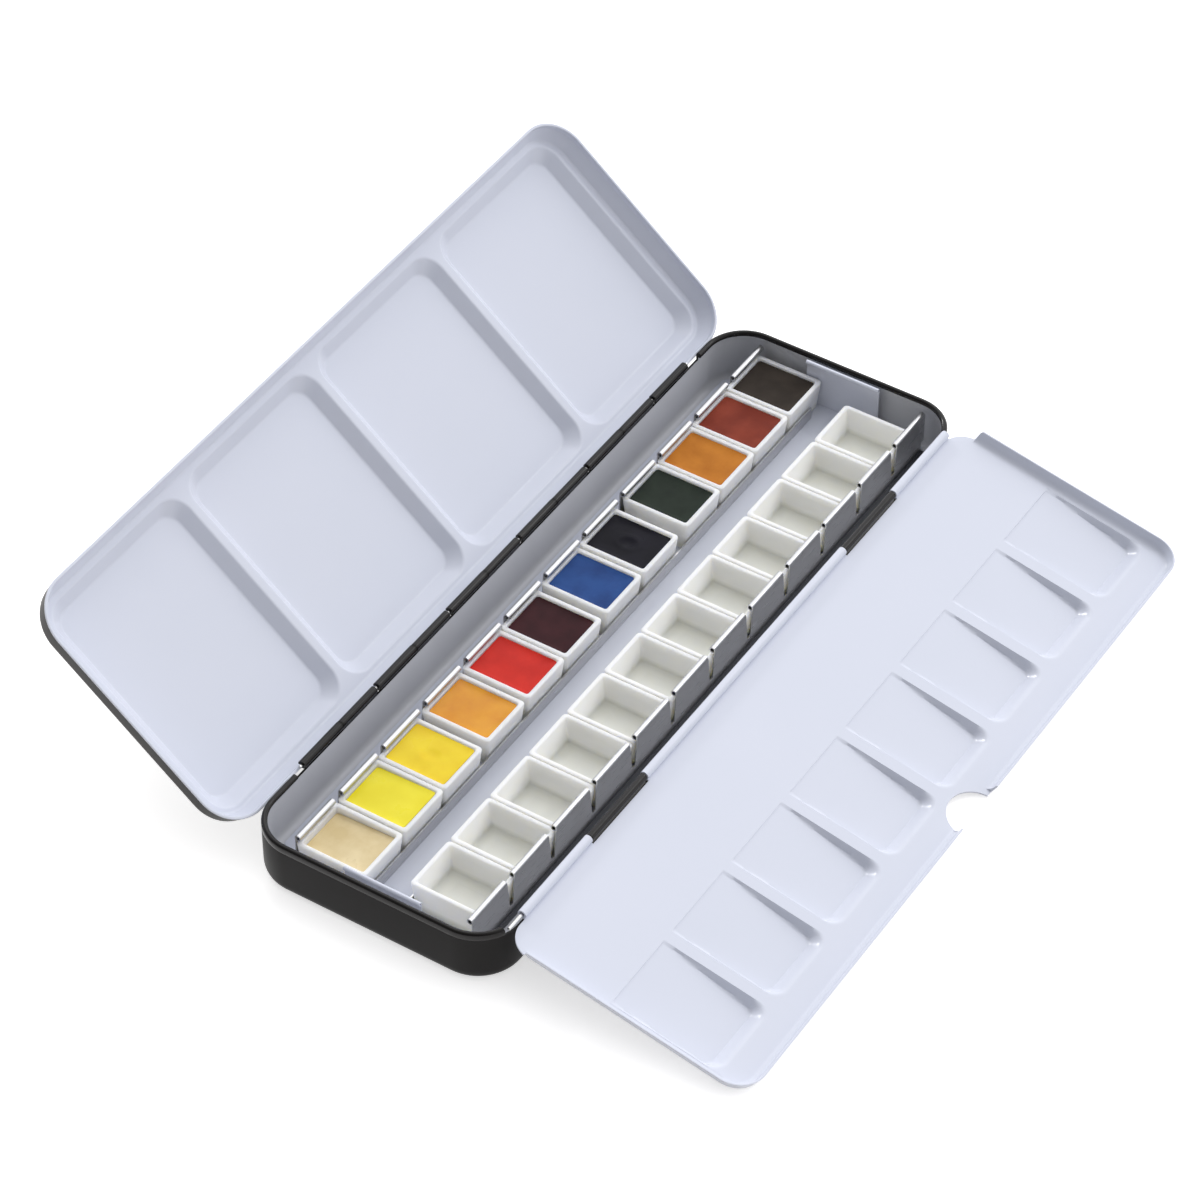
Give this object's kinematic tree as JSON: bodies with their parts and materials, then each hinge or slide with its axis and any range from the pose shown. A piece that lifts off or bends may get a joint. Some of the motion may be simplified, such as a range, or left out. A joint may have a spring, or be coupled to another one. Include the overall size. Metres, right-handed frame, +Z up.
{
  "type": "watercolor pan set",
  "caption": "Hinged enamelled tin with mixing wells in its lid, a fold-out mixing leaf and a sprung tray that holds rows of small paint pans.",
  "frame": {"origin": "centre of the flat underside of the tin", "axes": "+X along the tin's length, +Y towards the lid hinge, +Z up"},
  "size_m": [0.2138, 0.1881, 0.0578],
  "materials": {
    "tin_enamel": "black stoving enamel, satin gloss",
    "lid_lacquer": "white lacquer inside, black outside",
    "leaf_lacquer": "white lacquer, gloss",
    "hinge_steel": "bright drawn wire",
    "tray_tin_plate": "plain tin plate",
    "pan_plastic": "moulded white plastic",
    "paint_01": "dry watercolour, faintly glossy",
    "paint_02": "dry watercolour, faintly glossy",
    "paint_03": "dry watercolour, faintly glossy",
    "paint_04": "dry watercolour, faintly glossy",
    "paint_05": "dry watercolour, faintly glossy",
    "paint_06": "dry watercolour, faintly glossy",
    "paint_07": "dry watercolour, faintly glossy",
    "paint_08": "dry watercolour, faintly glossy",
    "paint_09": "dry watercolour, faintly glossy",
    "paint_10": "dry watercolour, faintly glossy",
    "paint_11": "dry watercolour, faintly glossy",
    "paint_12": "dry watercolour, faintly glossy"
  },
  "bodies": {
    "tin": {"base_tin": "tin_enamel", "lid_hinge_wire": "hinge_steel", "leaf_hinge_wire": "hinge_steel"},
    "lid": {"lid": "lid_lacquer"},
    "leaf": {"mixing_leaf": "leaf_lacquer"},
    "tray": {"pan_tray": "tray_tin_plate"},
    "front_pan_01": {"half_pan_front_01": "pan_plastic"},
    "front_pan_02": {"half_pan_front_02": "pan_plastic"},
    "front_pan_03": {"half_pan_front_03": "pan_plastic"},
    "front_pan_04": {"half_pan_front_04": "pan_plastic"},
    "front_pan_05": {"half_pan_front_05": "pan_plastic"},
    "front_pan_06": {"half_pan_front_06": "pan_plastic"},
    "front_pan_07": {"half_pan_front_07": "pan_plastic"},
    "front_pan_08": {"half_pan_front_08": "pan_plastic"},
    "front_pan_09": {"half_pan_front_09": "pan_plastic"},
    "front_pan_10": {"half_pan_front_10": "pan_plastic"},
    "front_pan_11": {"half_pan_front_11": "pan_plastic"},
    "front_pan_12": {"half_pan_front_12": "pan_plastic"},
    "back_pan_01": {"half_pan_back_01": "pan_plastic", "paint_cake_01": "paint_01"},
    "back_pan_02": {"half_pan_back_02": "pan_plastic", "paint_cake_02": "paint_02"},
    "back_pan_03": {"half_pan_back_03": "pan_plastic", "paint_cake_03": "paint_03"},
    "back_pan_04": {"half_pan_back_04": "pan_plastic", "paint_cake_04": "paint_04"},
    "back_pan_05": {"half_pan_back_05": "pan_plastic", "paint_cake_05": "paint_05"},
    "back_pan_06": {"half_pan_back_06": "pan_plastic", "paint_cake_06": "paint_06"},
    "back_pan_07": {"half_pan_back_07": "pan_plastic", "paint_cake_07": "paint_07"},
    "back_pan_08": {"half_pan_back_08": "pan_plastic", "paint_cake_08": "paint_08"},
    "back_pan_09": {"half_pan_back_09": "pan_plastic", "paint_cake_09": "paint_09"},
    "back_pan_10": {"half_pan_back_10": "pan_plastic", "paint_cake_10": "paint_10"},
    "back_pan_11": {"half_pan_back_11": "pan_plastic", "paint_cake_11": "paint_11"},
    "back_pan_12": {"half_pan_back_12": "pan_plastic", "paint_cake_12": "paint_12"}
  },
  "joints": [
    {"name": "lid_hinge", "type": "hinge", "parent": "tin", "child": "lid", "pos_m": [0, 0.0342, 0.0144], "axis": [-1, 0, 0], "range_deg": [-140.4, 0]},
    {"name": "leaf_hinge", "type": "hinge", "parent": "tin", "child": "leaf", "pos_m": [0, -0.03345, 0.0149], "axis": [1, 0, 0], "range_deg": [-191.9, 0]},
    {"name": "tray_lift", "type": "slide", "parent": "tin", "child": "tray", "axis": [0, 0, 1], "range_m": [0, 0.03]},
    {"name": "front_pan_01_lift", "type": "slide", "parent": "tray", "child": "front_pan_01", "axis": [0, 0, 1], "range_m": [0, 0.015]},
    {"name": "front_pan_02_lift", "type": "slide", "parent": "tray", "child": "front_pan_02", "axis": [0, 0, 1], "range_m": [0, 0.015]},
    {"name": "front_pan_03_lift", "type": "slide", "parent": "tray", "child": "front_pan_03", "axis": [0, 0, 1], "range_m": [0, 0.015]},
    {"name": "front_pan_04_lift", "type": "slide", "parent": "tray", "child": "front_pan_04", "axis": [0, 0, 1], "range_m": [0, 0.015]},
    {"name": "front_pan_05_lift", "type": "slide", "parent": "tray", "child": "front_pan_05", "axis": [0, 0, 1], "range_m": [0, 0.015]},
    {"name": "front_pan_06_lift", "type": "slide", "parent": "tray", "child": "front_pan_06", "axis": [0, 0, 1], "range_m": [0, 0.015]},
    {"name": "front_pan_07_lift", "type": "slide", "parent": "tray", "child": "front_pan_07", "axis": [0, 0, 1], "range_m": [0, 0.015]},
    {"name": "front_pan_08_lift", "type": "slide", "parent": "tray", "child": "front_pan_08", "axis": [0, 0, 1], "range_m": [0, 0.015]},
    {"name": "front_pan_09_lift", "type": "slide", "parent": "tray", "child": "front_pan_09", "axis": [0, 0, 1], "range_m": [0, 0.015]},
    {"name": "front_pan_10_lift", "type": "slide", "parent": "tray", "child": "front_pan_10", "axis": [0, 0, 1], "range_m": [0, 0.015]},
    {"name": "front_pan_11_lift", "type": "slide", "parent": "tray", "child": "front_pan_11", "axis": [0, 0, 1], "range_m": [0, 0.015]},
    {"name": "front_pan_12_lift", "type": "slide", "parent": "tray", "child": "front_pan_12", "axis": [0, 0, 1], "range_m": [0, 0.015]},
    {"name": "back_pan_01_lift", "type": "slide", "parent": "tray", "child": "back_pan_01", "axis": [0, 0, 1], "range_m": [0, 0.015]},
    {"name": "back_pan_02_lift", "type": "slide", "parent": "tray", "child": "back_pan_02", "axis": [0, 0, 1], "range_m": [0, 0.015]},
    {"name": "back_pan_03_lift", "type": "slide", "parent": "tray", "child": "back_pan_03", "axis": [0, 0, 1], "range_m": [0, 0.015]},
    {"name": "back_pan_04_lift", "type": "slide", "parent": "tray", "child": "back_pan_04", "axis": [0, 0, 1], "range_m": [0, 0.015]},
    {"name": "back_pan_05_lift", "type": "slide", "parent": "tray", "child": "back_pan_05", "axis": [0, 0, 1], "range_m": [0, 0.015]},
    {"name": "back_pan_06_lift", "type": "slide", "parent": "tray", "child": "back_pan_06", "axis": [0, 0, 1], "range_m": [0, 0.015]},
    {"name": "back_pan_07_lift", "type": "slide", "parent": "tray", "child": "back_pan_07", "axis": [0, 0, 1], "range_m": [0, 0.015]},
    {"name": "back_pan_08_lift", "type": "slide", "parent": "tray", "child": "back_pan_08", "axis": [0, 0, 1], "range_m": [0, 0.015]},
    {"name": "back_pan_09_lift", "type": "slide", "parent": "tray", "child": "back_pan_09", "axis": [0, 0, 1], "range_m": [0, 0.015]},
    {"name": "back_pan_10_lift", "type": "slide", "parent": "tray", "child": "back_pan_10", "axis": [0, 0, 1], "range_m": [0, 0.015]},
    {"name": "back_pan_11_lift", "type": "slide", "parent": "tray", "child": "back_pan_11", "axis": [0, 0, 1], "range_m": [0, 0.015]},
    {"name": "back_pan_12_lift", "type": "slide", "parent": "tray", "child": "back_pan_12", "axis": [0, 0, 1], "range_m": [0, 0.015]}
  ]
}
